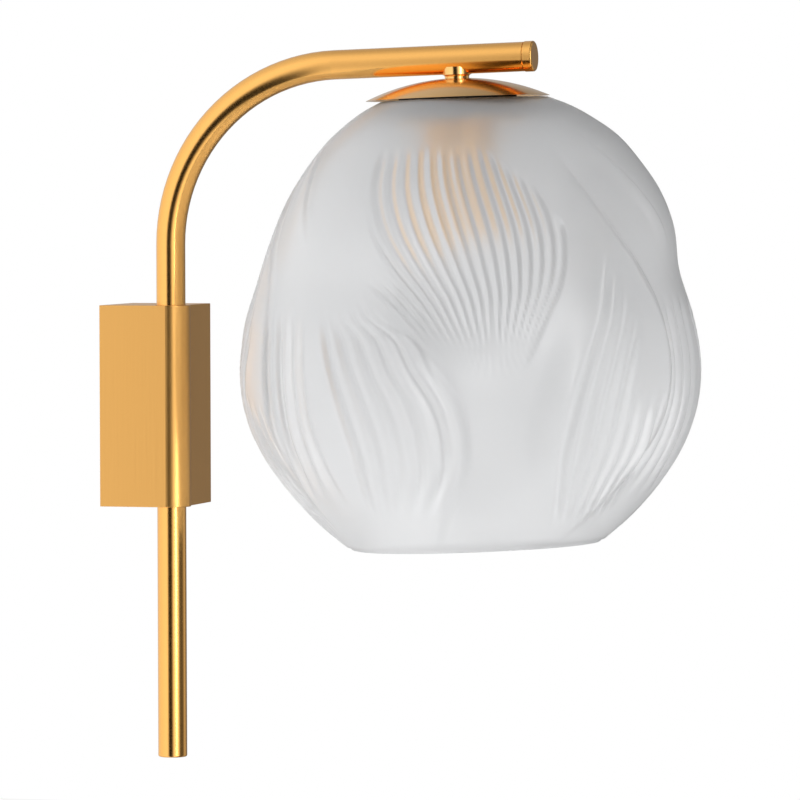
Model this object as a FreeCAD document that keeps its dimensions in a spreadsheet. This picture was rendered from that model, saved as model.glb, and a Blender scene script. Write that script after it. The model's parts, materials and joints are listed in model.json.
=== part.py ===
"""Wall light: a slim brass pole turns in the corner barrel of a wall box, bends over into an arm,
and carries a moulded, ribbed glass shade under a shallow brass canopy.

Frame: +Z up, the wall is the plane Y = 0, the lamp reaches out along -Y, and the origin is the
centre of the two wall fixing slots. Millimetres and degrees throughout.
"""
import FreeCAD, Part
import math
import os
import re
import Sketcher

# Driving dimensions: alias, value, meaning.
SIZES = [
    ("pole_radius", 8.0, "outside of the bent tube"),
    ("pole_wall", 1.2, "tube wall"),
    ("tail_length", 136.5, "pole below the wall box"),
    ("bend_start", 33.5, "straight pole above the wall box"),
    ("bend_radius", 98.0, "centre line of the bend"),
    ("arm_rise", 2.0, "degrees that the arm climbs towards its end"),
    ("shade_reach", 163.4, "pole axis to the shade's axis, along the arm"),
    ("arm_overhang", 38.2, "arm beyond the shade's axis"),
    ("swing_limit", 45.0, "degrees that the arm turns each way"),
    ("running_gap", 0.05, "radial clearance of a turning fit"),
    ("fit_gap", 0.05, "radial clearance of a fixed fit"),
    ("bush_wall", 0.7, "nylon bush"),
    ("bush_length", 10.0, "each nylon bush"),
    ("barrel_wall", 1.9, "tube at the corner of the wall box"),
    ("box_width", 58.0, "wall box along the wall"),
    ("box_height", 111.0, "wall box"),
    ("box_front", 8.0, "front face ahead of the pole axis"),
    ("pole_standoff", 38.0, "pole axis to the wall"),
    ("box_wall", 1.5, "sheet of the wall box"),
    ("box_corner", 2.0, "rounding of the far front edge"),
    ("box_edge", 0.4, "rounding of the top and bottom edges"),
    ("window_height", 9.0, "wiring window in the barrel and the pole"),
    ("window_level", 32.0, "middle of the wiring window"),
    ("stop_level", -20.0, "stop screw"),
    ("stop_radius", 2.5, "stop screw thread"),
    ("dog_radius", 1.9, "plain tip of the stop screw"),
    ("dog_depth", 1.0, "plain tip into the tube's wall"),
    ("dog_start", 0.3, "thread of the stop screw off the barrel's bore"),
    ("stop_length", 8.0, "thread of the stop screw"),
    ("stop_socket_radius", 1.25, "hexagon socket of the stop screw"),
    ("stop_socket_depth", 2.8, "hexagon socket of the stop screw"),
    ("boss_radius", 5.0, "boss round the stop screw"),
    ("boss_length", 4.0, "boss outside the barrel"),
    ("slot_gap", 0.2, "tip of the stop screw to the sides of its slot"),
    ("bracket_width", 52.0, "wall bracket"),
    ("bracket_thickness", 1.5, "wall bracket plate"),
    ("tab_gap", 0.3, "bracket tab to the wall box"),
    ("tab_width", 20.0, "bracket tab"),
    ("tab_depth", 14.0, "bracket tab off the wall"),
    ("fixing_spacing", 70.0, "wall fixing slots, centre to centre"),
    ("fixing_slot_width", 4.5, "wall fixing slot"),
    ("fixing_slot_length", 10.0, "wall fixing slot, end to end"),
    ("box_screw_radius", 1.5, "screws that hold the wall box"),
    ("box_screw_length", 8.0, "screws that hold the wall box"),
    ("box_screw_head", 2.8, "head radius"),
    ("box_recess_radius", 0.8, "driver recess in those screws"),
    ("box_recess_depth", 0.9, "driver recess in those screws"),
    ("box_screw_setback", 8.0, "screw axis off the wall"),
    ("inlet_radius", 4.5, "bore of the cable grommet"),
    ("grommet_wall", 1.5, "grommet between the cable and the plate"),
    ("grommet_lip", 2.0, "grommet lip beyond the plate's hole"),
    ("grommet_lip_depth", 1.2, "grommet lip in front of the plate"),
    ("terminal_width", 26.0, "terminal block"),
    ("terminal_height", 17.0, "terminal block"),
    ("terminal_depth", 15.0, "terminal block"),
    ("terminal_x", 13.0, "middle of the terminal block from the centre line"),
    ("terminal_drop", 7.0, "top of the terminal block below the wiring window"),
    ("terminal_pitch", 8.0, "between the poles of the terminal block"),
    ("terminal_screw_radius", 1.9, "terminal screws"),
    ("terminal_screw_proud", 0.6, "terminal screws out of the block"),
    ("block_screw_radius", 1.5, "screw that holds the terminal block"),
    ("block_screw_head", 2.6, "head radius"),
    ("block_screw_head_height", 1.4, "screw that holds the terminal block"),
    ("earth_screw_radius", 2.0, "earth screw"),
    ("earth_head_radius", 3.6, "earth screw"),
    ("earth_head_height", 2.4, "earth screw"),
    ("earth_washer_radius", 4.6, "cup washer"),
    ("earth_washer_height", 0.9, "cup washer"),
    ("earth_x", 15.0, "earth screw from the centre line"),
    ("earth_level", -35.0, "earth screw"),
    ("lead_radius", 2.0, "sheathed lead inside the lamp"),
    ("lead_bend", 4.5, "tight bends of the lead"),
    ("lead_stub", 1.0, "straight ends of the lead"),
    ("cap_radius", 8.3, "cap on the arm's end"),
    ("cap_length", 5.2, "cap on the arm's end"),
    ("cap_groove", 0.6, "shadow line behind the cap"),
    ("cap_groove_depth", 0.7, "shadow line behind the cap"),
    ("cap_rounding", 1.0, "edge of both end caps"),
    ("plug_length", 1.8, "cap under the pole"),
    ("spigot_length", 8.0, "end caps inside the tube"),
    ("stem_radius", 6.6, "neck between arm and canopy"),
    ("stem_flare", 7.9, "neck where it meets the arm"),
    ("stem_shoulder", 0.2, "end of the flare below the arm"),
    ("canopy_drop", 21.0, "arm axis to the canopy's rim"),
    ("canopy_radius", 50.0, "canopy rim"),
    ("canopy_height", 11.0, "canopy"),
    ("canopy_wall", 1.2, "canopy"),
    ("nipple_radius", 5.0, "hollow threaded nipple"),
    ("nipple_bore", 3.5, "hollow threaded nipple"),
    ("nipple_clear", 0.3, "top of the nipple below the arm"),
    ("nipple_proud", 0.8, "nipple past the nut inside the lampholder"),
    ("nut_radius", 8.5, "nuts on the nipple, across the corners"),
    ("holder_nut_height", 3.5, "nut inside the lampholder"),
    ("disc_radius", 33.0, "steel disc above the glass"),
    ("disc_thickness", 2.0, "steel disc above the glass"),
    ("gasket_radius", 32.0, "both gaskets"),
    ("gasket_step", 1.0, "bore of the gaskets beyond the hole in the glass"),
    ("upper_gasket", 2.0, "gasket above the glass"),
    ("lower_gasket", 1.8, "gasket under the glass"),
    ("plate_radius", 36.0, "brass plate under the glass"),
    ("plate_thickness", 2.4, "brass plate under the glass"),
    ("shade_drop", 0.8, "canopy rim to the top of the glass"),
    ("shade_height", 242.2, "glass"),
    ("shade_belly", 125.7, "largest mean radius of the glass"),
    ("shade_mouth", 68.0, "radius of the mouth of the glass"),
    ("shade_hole", 21.0, "hole in the top of the glass"),
    ("shade_wall", 4.0, "glass"),
    ("shade_collar", 6.0, "glass round the hole"),
    ("petal_bulge", 4.6, "swell of the three upper petals"),
    ("valley_depth", 7.2, "hollow between two lower folds"),
    ("left_fold", 4.4, "fold on the left of a valley"),
    ("right_fold", 3.2, "fold on the right of a valley"),
    ("holder_radius", 19.0, "lampholder cup"),
    ("holder_wall", 0.8, "lampholder cup"),
    ("holder_length", 66.0, "lampholder cup"),
    ("holder_recess", 1.0, "cup below the ceramic"),
    ("ceramic_length", 46.0, "ceramic body of the lampholder"),
    ("ceramic_floor", 7.0, "ceramic above the socket"),
    ("socket_radius", 13.2, "inside of the screw shell"),
    ("socket_wall", 0.5, "screw shell"),
    ("socket_length", 31.5, "screw shell"),
    ("contact_radius", 3.5, "centre contact"),
    ("contact_tip", 2.1, "lower end of the centre contact"),
    ("contact_height", 2.0, "centre contact"),
    ("contact_gap", 0.5, "centre contact to the screw shell"),
]
ALIASES = {alias for alias, number, note in SIZES}

# The glass: petals and folds repeat three times round the axis. Angles are about +Z from +X.
PETALS = 3
PERIOD = 360.0 / PETALS
PETAL_CREST = 166.0
FOLD_ZERO = 196.0
# From its top to its mouth: share of the height, mean radius as a share of the belly's, share of petal_bulge.
SHADE_ROWS = [
    (0.000, 0.360, 0.75),
    (0.018, 0.438, 0.95),
    (0.045, 0.522, 1.15),
    (0.090, 0.630, 1.40),
    (0.150, 0.724, 1.43),
    (0.220, 0.807, 1.45),
    (0.300, 0.867, 1.22),
    (0.400, 0.910, 0.53),
    (0.500, 0.967, 0.43),
    (0.600, 0.996, 0.39),
    (0.700, 0.973, 0.46),
    (0.790, 0.903, 0.58),
    (0.870, 0.798, 0.60),
    (0.940, 0.676, 0.50),
    (1.000, 0.540, 0.30),
]
# Folds over the petals: share of the height; degrees from FOLD_ZERO of the valley's middle, its half width,
# the crease of the fold on its left, and the foot, shoulder and crease of the fold on its right; shares of
# valley_depth, left_fold and right_fold.
FOLD_ROWS = [
    (0.00, 4.0, 26.0, -40.0, 15.0, 44.0, 36.0, 0.00, 0.00, 0.00),
    (0.10, 4.0, 26.0, -40.0, 15.0, 44.0, 37.0, 0.00, 0.00, 0.00),
    (0.20, 4.0, 26.0, -40.0, 15.0, 44.0, 42.5, 0.00, 0.00, 0.55),
    (0.30, 4.0, 25.0, -38.0, 15.0, 43.0, 48.5, 0.15, 0.00, 0.75),
    (0.40, 4.0, 22.0, -30.0, 18.0, 40.5, 55.5, 0.32, 0.00, 0.85),
    (0.50, 5.0, 18.0, -18.0, 22.0, 34.5, 59.5, 0.58, 0.35, 0.95),
    (0.60, 8.0, 14.0, -9.0, 17.5, 29.5, 60.5, 0.83, 0.90, 1.00),
    (0.70, 9.0, 13.0, -3.0, 14.0, 26.0, 60.0, 0.98, 1.00, 1.00),
    (0.80, 10.0, 13.0, -2.8, 15.0, 27.0, 57.0, 0.98, 1.00, 0.95),
    (0.90, 9.0, 14.0, -8.5, 18.5, 30.5, 49.5, 0.72, 0.70, 0.60),
    (1.00, 9.0, 15.0, -16.5, 22.0, 34.0, 38.0, 0.14, 0.05, 0.00),
]
FOLD_SLOPE = 1.3
CREASE_WIDTH = 10.0
SECTION_SHARES = [0.0, 0.018, 0.045, 0.09, 0.15] + [step / 20 for step in range(4, 21)]
SECTION_POINTS = 72
CEILING_INSET = 1.9
FLARE_STEPS = 4
NOUGHT = 1e-6

doc = FreeCAD.newDocument("wall_light")
sheet = doc.addObject("Spreadsheet::Sheet", "Sizes")
for row, (alias, number, note) in enumerate(SIZES, 1):
    sheet.set(f"A{row}", alias)
    sheet.set(f"B{row}", str(number))
    sheet.setAlias(f"B{row}", alias)
    sheet.set(f"C{row}", note)
doc.recompute()

X_AXIS = FreeCAD.Vector(1, 0, 0)
Y_AXIS = FreeCAD.Vector(0, 1, 0)
Z_AXIS = FreeCAD.Vector(0, 0, 1)
pieces = []


def value(text):
    """The number that an expression on the sheet's aliases gives."""
    result = sheet.evalExpression(text)
    return float(getattr(result, "Value", result))


def bound(text):
    """The same expression as another object of the document writes it."""
    return re.sub(r"[a-z][a-z_]*", lambda word: prefixed(word.group()), text)


def prefixed(word):
    return f"Sizes.{word}" if word in ALIASES else word


def bind(item, **sizes):
    for name, text in sizes.items():
        item.setExpression(name, bound(text))


def at(x=0.0, y=0.0, z=0.0, turn=None):
    return FreeCAD.Placement(FreeCAD.Vector(x, y, z), turn or FreeCAD.Rotation())


def keep(label, item, place=None):
    """Makes an object one of the lamp's sub-parts."""
    item.Label = label
    if place is not None:
        item.Placement = place
    pieces.append(item)
    return item


def cylinder(radius, height, place=None, angle=None):
    item = doc.addObject("Part::Cylinder", "Round")
    bind(item, Radius=radius, Height=height)
    if angle is not None:
        bind(item, Angle=angle)
    item.Placement = place or at()
    return item


def cone(radius_low, radius_high, height, place=None):
    item = doc.addObject("Part::Cone", "Taper")
    bind(item, Radius1=radius_low, Radius2=radius_high, Height=height)
    item.Placement = place or at()
    return item


def block(length, width, height, place=None):
    item = doc.addObject("Part::Box", "Block")
    bind(item, Length=length, Width=width, Height=height)
    item.Placement = place or at()
    return item


def fuse(*parts):
    if len(parts) == 1:
        return parts[0]
    item = doc.addObject("Part::MultiFuse", "Joined")
    item.Shapes = list(parts)
    item.Refine = True
    return item


def cut(base, *tools):
    item = doc.addObject("Part::Cut", "Cut")
    item.Base = base
    item.Tool = fuse(*tools)
    return item


def ring(outer, bore, height, place=None):
    """A plain ring or tube, standing on its own origin."""
    item = cut(cylinder(outer, height), cylinder(bore, height))
    item.Placement = place or at()
    return item


def plane_of(body, role):
    return next(item for item in body.Origin.OriginFeatures if item.Role == role)


def sketch_on(body, role, name):
    sketch = body.newObject("Sketcher::SketchObject", name)
    sketch.AttachmentSupport = [(plane_of(body, role), "")]
    sketch.MapMode = "FlatFace"
    return sketch


def pin_point(sketch, edge, end, across, up):
    """Fixes an edge's end at two expressions, measured from the sketch's origin."""
    for kind, text in (("DistanceX", across), ("DistanceY", up)):
        number = value(text)
        if abs(number) < NOUGHT:
            axis = -2 if kind == "DistanceX" else -1
            sketch.addConstraint(Sketcher.Constraint("PointOnObject", edge, end, axis))
            continue
        index = sketch.addConstraint(Sketcher.Constraint(kind, -1, 1, edge, end, number))
        sketch.setExpression(f"Constraints[{index}]", bound(text))


def turned(label, outline, place=None):
    """A body of revolution about its own Z axis. The outline lists corners as (radius, height)."""
    body = doc.addObject("PartDesign::Body", label)
    sketch = sketch_on(body, "XZ_Plane", f"{label}_outline")
    corners = [FreeCAD.Vector(value(radius), value(height), 0) for radius, height in outline]
    count = len(corners)
    for index in range(count):
        line = Part.LineSegment(corners[index], corners[(index + 1) % count])
        sketch.addGeometry(line, False)
    for index in range(count):
        following = (index + 1) % count
        sketch.addConstraint(Sketcher.Constraint("Coincident", index, 2, following, 1))
    for index, (radius, height) in enumerate(outline):
        pin_point(sketch, index, 1, radius, height)
    doc.recompute()
    spin = body.newObject("PartDesign::Revolution", f"{label}_turned")
    spin.Profile = sketch
    spin.ReferenceAxis = (sketch, ["V_Axis"])
    spin.Angle = 360.0
    doc.recompute()
    return keep(label, body, place)


def round_edges(body, wanted, radius):
    """Adds a fillet on the edges of a body that the test picks."""
    solid = body.Tip
    names = [f"Edge{i}" for i, edge in enumerate(solid.Shape.Edges, 1) if wanted(edge.BoundBox)]
    fillet = body.newObject("PartDesign::Fillet", f"{body.Name}_rounding")
    fillet.Base = (solid, names)
    bind(fillet, Radius=radius)
    doc.recompute()


def swept_lead(label, path, radius, place=None):
    """A round lead along a path of runs and tangent arcs."""
    start = path.Edges[0]
    first = start.FirstParameter
    circle = Part.Circle(start.valueAt(first), start.tangentAt(first), radius)
    tube = path.makePipeShell([Part.Wire(circle.toShape())], True, False)
    item = doc.addObject("Part::Feature", label)
    item.Shape = tube
    return keep(label, item, place)


def corner_arc(before, corner, after, radius):
    """Run ends and the arc that rounds one corner of a path."""
    to_before = (before - corner).normalize()
    to_after = (after - corner).normalize()
    half = to_before.getAngle(to_after) / 2
    reach = radius / math.tan(half)
    middle = (to_before + to_after).normalize() * (radius / math.sin(half) - radius)
    start = corner + to_before * reach
    end = corner + to_after * reach
    return start, Part.Arc(start, corner + middle, end), end


def rounded_path(points, radii):
    """Straight runs through the points, with an arc of the given radius at each inner point."""
    edges = []
    here = points[0]
    for index, radius in enumerate(radii, 1):
        start, arc, end = corner_arc(here, points[index], points[index + 1], radius)
        if (start - here).Length > NOUGHT:
            edges.append(Part.LineSegment(here, start).toShape())
        edges.append(arc.toShape())
        here = end
    edges.append(Part.LineSegment(here, points[-1]).toShape())
    return Part.Wire(edges)


# Places that more than one piece uses.
BARREL_RADIUS = "(pole_radius + running_gap + bush_wall + fit_gap + barrel_wall)"
BARREL_BORE = "(pole_radius + running_gap + bush_wall + fit_gap)"
BOX_DEPTH = "(pole_standoff + box_front)"
TUBE_BORE = "(pole_radius - pole_wall)"
ARM_REACH = "(shade_reach * cos(arm_rise * 1deg) + arm_overhang)"
half_height = value("box_height / 2")
pole_x = value(f"{BARREL_RADIUS} - box_width / 2")
pole_y = -value("pole_standoff")
INWARD = 45.0
TOUCH = 0.01
inward_turn = FreeCAD.Rotation(Z_AXIS, INWARD)
inward = inward_turn.multVec(X_AXIS)
radial_turn = inward_turn.multiply(FreeCAD.Rotation(Y_AXIS, 90))
pole_foot = -half_height - value("tail_length")
bend_level = half_height + value("bend_start")
rise = math.radians(value("arm_rise"))
arm_direction = FreeCAD.Vector(0, -math.cos(rise), math.sin(rise))
arm_bend_end = FreeCAD.Vector(
    pole_x,
    pole_y - value("bend_radius") * (1 - math.sin(rise)),
    bend_level + value("bend_radius") * math.cos(rise),
)


def on_arm(reach):
    """Point on the arm's axis at a distance from the pole's axis, measured along the floor."""
    run = (reach - pole_y + arm_bend_end.y) / math.cos(rise)
    return arm_bend_end + arm_direction * run


hang_point = on_arm(value("shade_reach") * math.cos(rise))
hang_turn = FreeCAD.Rotation(X_AXIS, -math.degrees(rise))


def hung(drop, turn=None):
    """Place on the shade's axis, a drop below the arm's axis."""
    offset = hang_turn.multVec(FreeCAD.Vector(0, 0, -value(drop)))
    return FreeCAD.Placement(hang_point + offset, hang_turn.multiply(turn or FreeCAD.Rotation()))


def softened(base, radius, wanted):
    """Rounds the edges of an object that the test picks."""
    doc.recompute()
    size = value(radius)
    chosen = [(index, size, size) for index, edge in enumerate(base.Shape.Edges, 1) if wanted(edge.BoundBox)]
    item = doc.addObject("Part::Fillet", "Softened")
    item.Base = base
    item.Edges = chosen
    return item


def on_rim(box):
    """True for an edge that lies in the top or the bottom face of the wall box."""
    return box.ZLength < TOUCH and abs(abs(box.ZMax) - half_height) < TOUCH


def barrel(radius):
    return cylinder(radius, "box_height", at(pole_x, pole_y, -half_height))


def radial_at_stop():
    """Place on the pole's axis at the stop screw's level, pointing into the box."""
    return FreeCAD.Placement(FreeCAD.Vector(pole_x, pole_y, value("stop_level")), radial_turn)


def wall_box():
    """Brass box with an open back. The pole's barrel takes the place of its near front corner."""
    near_x = -value("box_width / 2")
    far_x = -near_x
    front_y = -value(BOX_DEPTH)
    main = block(f"box_width - {BARREL_RADIUS}", BOX_DEPTH, "box_height", at(pole_x, front_y, -half_height))
    main = softened(main, "box_corner", lambda box: box.XMin > far_x - TOUCH and box.YMax < front_y + TOUCH)
    main = softened(main, "box_edge", lambda box: on_rim(box) and box.XMax > pole_x + TOUCH and box.YMin < -TOUCH)
    side = block(BARREL_RADIUS, "pole_standoff", "box_height", at(near_x, pole_y, -half_height))
    side = softened(side, "box_edge", lambda box: on_rim(box) and box.XMax < near_x + TOUCH)
    corner = softened(barrel(BARREL_RADIUS), "box_edge", on_rim)
    outer = fuse(main, side, corner)
    inner_height = "box_height - 2 * box_wall"
    inner_foot = -value(inner_height) / 2
    inner_depth = f"{BOX_DEPTH} - box_wall"
    cavity = fuse(
        block(f"box_width - {BARREL_RADIUS} - box_wall", inner_depth, inner_height,
              at(pole_x, -value(inner_depth), inner_foot)),
        block(f"{BARREL_RADIUS} - box_wall", "pole_standoff", inner_height,
              at(near_x + value("box_wall"), pole_y, inner_foot)),
    )
    boss = cylinder("boss_radius", f"{BARREL_RADIUS} + boss_length", radial_at_stop())
    hollow = cut(cavity, barrel(BARREL_RADIUS), boss)
    window = block(f"{BARREL_RADIUS} + box_wall", "window_height", "window_height",
                   window_place(value("window_height") / 2))
    stop_hole = cylinder("stop_radius + fit_gap", f"{BARREL_RADIUS} + 2 * boss_length", radial_at_stop())
    sink = "box_screw_head - box_screw_radius"
    screw_holes = []
    for end in (1, -1):
        turn = FreeCAD.Rotation(X_AXIS, 0 if end > 0 else 180)
        back = -value("box_screw_setback")
        place = at(0, back, end * (half_height - value("box_wall")), turn)
        screw_holes.append(cylinder("box_screw_radius + 2 * fit_gap", "box_wall", place))
        place = at(0, back, end * (half_height - value(sink)), turn)
        screw_holes.append(cone("box_screw_radius + 2 * fit_gap", "box_screw_head + 2 * fit_gap", sink, place))
    return keep("wall_box", cut(outer, hollow, barrel(BARREL_BORE), window, stop_hole, *screw_holes))


def window_place(half_width):
    """The wiring window's block starts on the pole's axis and points into the box."""
    sideways = inward_turn.multVec(FreeCAD.Vector(0, -half_width, 0))
    base = FreeCAD.Vector(pole_x, pole_y, value("window_level - window_height / 2")) + sideways
    return FreeCAD.Placement(base, inward_turn)


def wall_bracket():
    """Steel plate against the wall, with two fixing slots and a tab at each end for the box."""
    plate_half = value("box_height / 2 - box_wall - tab_gap")
    plate = block("bracket_width", "bracket_thickness", "box_height - 2 * box_wall - 2 * tab_gap",
                  at(-value("bracket_width / 2"), -value("bracket_thickness"), -plate_half))
    tabs = []
    holes = []
    for side in (1, -1):
        low = plate_half - value("bracket_thickness") if side > 0 else -plate_half
        tabs.append(block("tab_width", "tab_depth", "bracket_thickness",
                          at(-value("tab_width / 2"), -value("tab_depth"), low)))
        holes.append(cylinder("box_screw_radius + fit_gap", "bracket_thickness",
                              at(0, -value("box_screw_setback"), low)))
    lying = FreeCAD.Rotation(X_AXIS, 90)
    thick = "2 * bracket_thickness"
    for side in (1, -1):
        level = side * value("fixing_spacing / 2")
        reach = value("(fixing_slot_length - fixing_slot_width) / 2")
        for end in (1, -1):
            holes.append(cylinder("fixing_slot_width / 2", thick, at(0, 0, level + end * reach, lying)))
        holes.append(block("fixing_slot_width", thick, "fixing_slot_length - fixing_slot_width",
                           at(-value("fixing_slot_width / 2"), -value(thick), level - reach)))
    holes.append(cylinder("inlet_radius + grommet_wall", thick, at(0, 0, 0, lying)))
    holes.append(cylinder("earth_screw_radius + fit_gap", thick,
                          at(value("earth_x"), 0, value("earth_level"), lying)))
    holes.append(cylinder("block_screw_radius + fit_gap", thick,
                          at(value("terminal_x"), 0, block_level(), lying)))
    return keep("wall_bracket", cut(fuse(plate, *tabs), *holes))


def block_level():
    """Height of the middle of the terminal block."""
    return value("window_level - terminal_drop - terminal_height / 2")


def box_screws():
    """Two countersunk screws, through the top and bottom of the box into the bracket's tabs."""
    screws = []
    sink = "box_screw_head - box_screw_radius"
    for side in (1, -1):
        turn = FreeCAD.Rotation(X_AXIS, 180 if side > 0 else 0)
        place = at(0, -value("box_screw_setback"), side * half_height, turn)
        head = cone("box_screw_head", "box_screw_radius", sink)
        shank = cylinder("box_screw_radius", "box_screw_length")
        screw = cut(fuse(head, shank), cylinder("box_recess_radius", "box_recess_depth"))
        screw.Placement = place
        screws.append(screw)
    group = doc.addObject("Part::Compound", "Box_screws")
    group.Links = screws
    return keep("box_screws", group)


def cable_grommet():
    """Rubber ring in the bracket, where the supply cable comes out of the wall."""
    thickness = "bracket_thickness"
    outline = [
        ("inlet_radius", "0"),
        ("inlet_radius + grommet_wall - fit_gap", "0"),
        ("inlet_radius + grommet_wall - fit_gap", thickness),
        ("inlet_radius + grommet_wall + grommet_lip", thickness),
        ("inlet_radius + grommet_wall + grommet_lip", f"{thickness} + grommet_lip_depth"),
        ("inlet_radius", f"{thickness} + grommet_lip_depth"),
    ]
    return turned("cable_grommet", outline, at(turn=FreeCAD.Rotation(X_AXIS, 90)))


def terminal_block():
    """Two-pole block on the bracket, with its own screw between the poles."""
    back = -value("bracket_thickness")
    base = at(value("terminal_x - terminal_width / 2"), back - value("terminal_depth"),
              block_level() - value("terminal_height / 2"))
    body = block("terminal_width", "terminal_depth", "terminal_height", base)
    lying = FreeCAD.Rotation(X_AXIS, 90)
    holes = []
    front = back - value("terminal_depth")
    for side in (-1, 1):
        x = value("terminal_x") + side * value("terminal_pitch")
        for end in (-1, 1):
            z = block_level() + end * value("terminal_height / 4")
            holes.append(cylinder("terminal_screw_radius + fit_gap", "terminal_depth / 2",
                                  at(x, front + value("terminal_depth / 2"), z, lying)))
    holes.append(cylinder("block_screw_radius + fit_gap", "terminal_depth",
                          at(value("terminal_x"), back, block_level(), lying)))
    return keep("terminal_block", cut(body, *holes))


def terminal_screws():
    """Four clamp screws in the front of the terminal block."""
    lying = FreeCAD.Rotation(X_AXIS, 90)
    front = -value("bracket_thickness + terminal_depth")
    screws = []
    for side in (-1, 1):
        for end in (-1, 1):
            x = value("terminal_x") + side * value("terminal_pitch")
            z = block_level() + end * value("terminal_height / 4")
            place = at(x, front + value("terminal_depth / 2"), z, lying)
            screw = cylinder("terminal_screw_radius", "terminal_depth / 2 + terminal_screw_proud")
            slot = block("3 * terminal_screw_radius", "terminal_screw_radius / 3", "terminal_screw_proud",
                         at(-value("1.5 * terminal_screw_radius"), -value("terminal_screw_radius / 6"),
                            value("terminal_depth / 2")))
            item = cut(screw, slot)
            item.Placement = place
            screws.append(item)
    group = doc.addObject("Part::Compound", "Terminal_screws")
    group.Links = screws
    return keep("terminal_screws", group)


def block_screw():
    """Screw that holds the terminal block on the bracket."""
    reach = "terminal_depth + bracket_thickness"
    outline = [
        ("0", "0"),
        ("block_screw_radius", "0"),
        ("block_screw_radius", reach),
        ("block_screw_head", reach),
        ("block_screw_head", f"{reach} + block_screw_head_height"),
        ("0", f"{reach} + block_screw_head_height"),
    ]
    place = at(value("terminal_x"), 0, block_level(), FreeCAD.Rotation(X_AXIS, 90))
    return turned("block_screw", outline, place)


def earth_screw():
    """Earth screw in the bracket, with its cup washer as a piece of its own."""
    lying = FreeCAD.Rotation(X_AXIS, 90)
    x = value("earth_x")
    z = value("earth_level")
    seat = "bracket_thickness + earth_washer_height"
    outline = [
        ("0", "0"),
        ("earth_screw_radius", "0"),
        ("earth_screw_radius", seat),
        ("earth_head_radius", seat),
        ("earth_head_radius", f"{seat} + earth_head_height"),
        ("0", f"{seat} + earth_head_height"),
    ]
    turned("earth_screw", outline, at(x, 0, z, lying))
    washer = ring("earth_washer_radius", "earth_screw_radius + fit_gap", "earth_washer_height")
    return keep("earth_washer", washer, at(x, -value("bracket_thickness"), z, lying))


def bushes():
    """Two nylon liners, which centre the pole in the barrel."""
    bore = "pole_radius + running_gap"
    outside = "pole_radius + running_gap + bush_wall"
    inset = value("box_wall")
    high = half_height - inset - value("bush_length")
    low = inset - half_height
    for label, level in (("upper_bush", high), ("lower_bush", low)):
        keep(label, ring(outside, bore, "bush_length"), at(pole_x, pole_y, level))


def stop_screw():
    """Grub screw in the barrel's boss. Its plain tip runs in the pole's slot and ends the swing."""
    tip = "pole_radius - dog_depth"
    thread_start = f"{BARREL_BORE} + dog_start"
    thread_end = f"{thread_start} + stop_length"
    outline = [
        ("0", tip),
        ("dog_radius", tip),
        ("dog_radius", thread_start),
        ("stop_radius", thread_start),
        ("stop_radius", thread_end),
        ("stop_socket_radius", thread_end),
        ("stop_socket_radius", f"{thread_end} - stop_socket_depth"),
        ("0", f"{thread_end} - stop_socket_depth"),
    ]
    return turned("stop_screw", outline, radial_at_stop())


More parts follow.
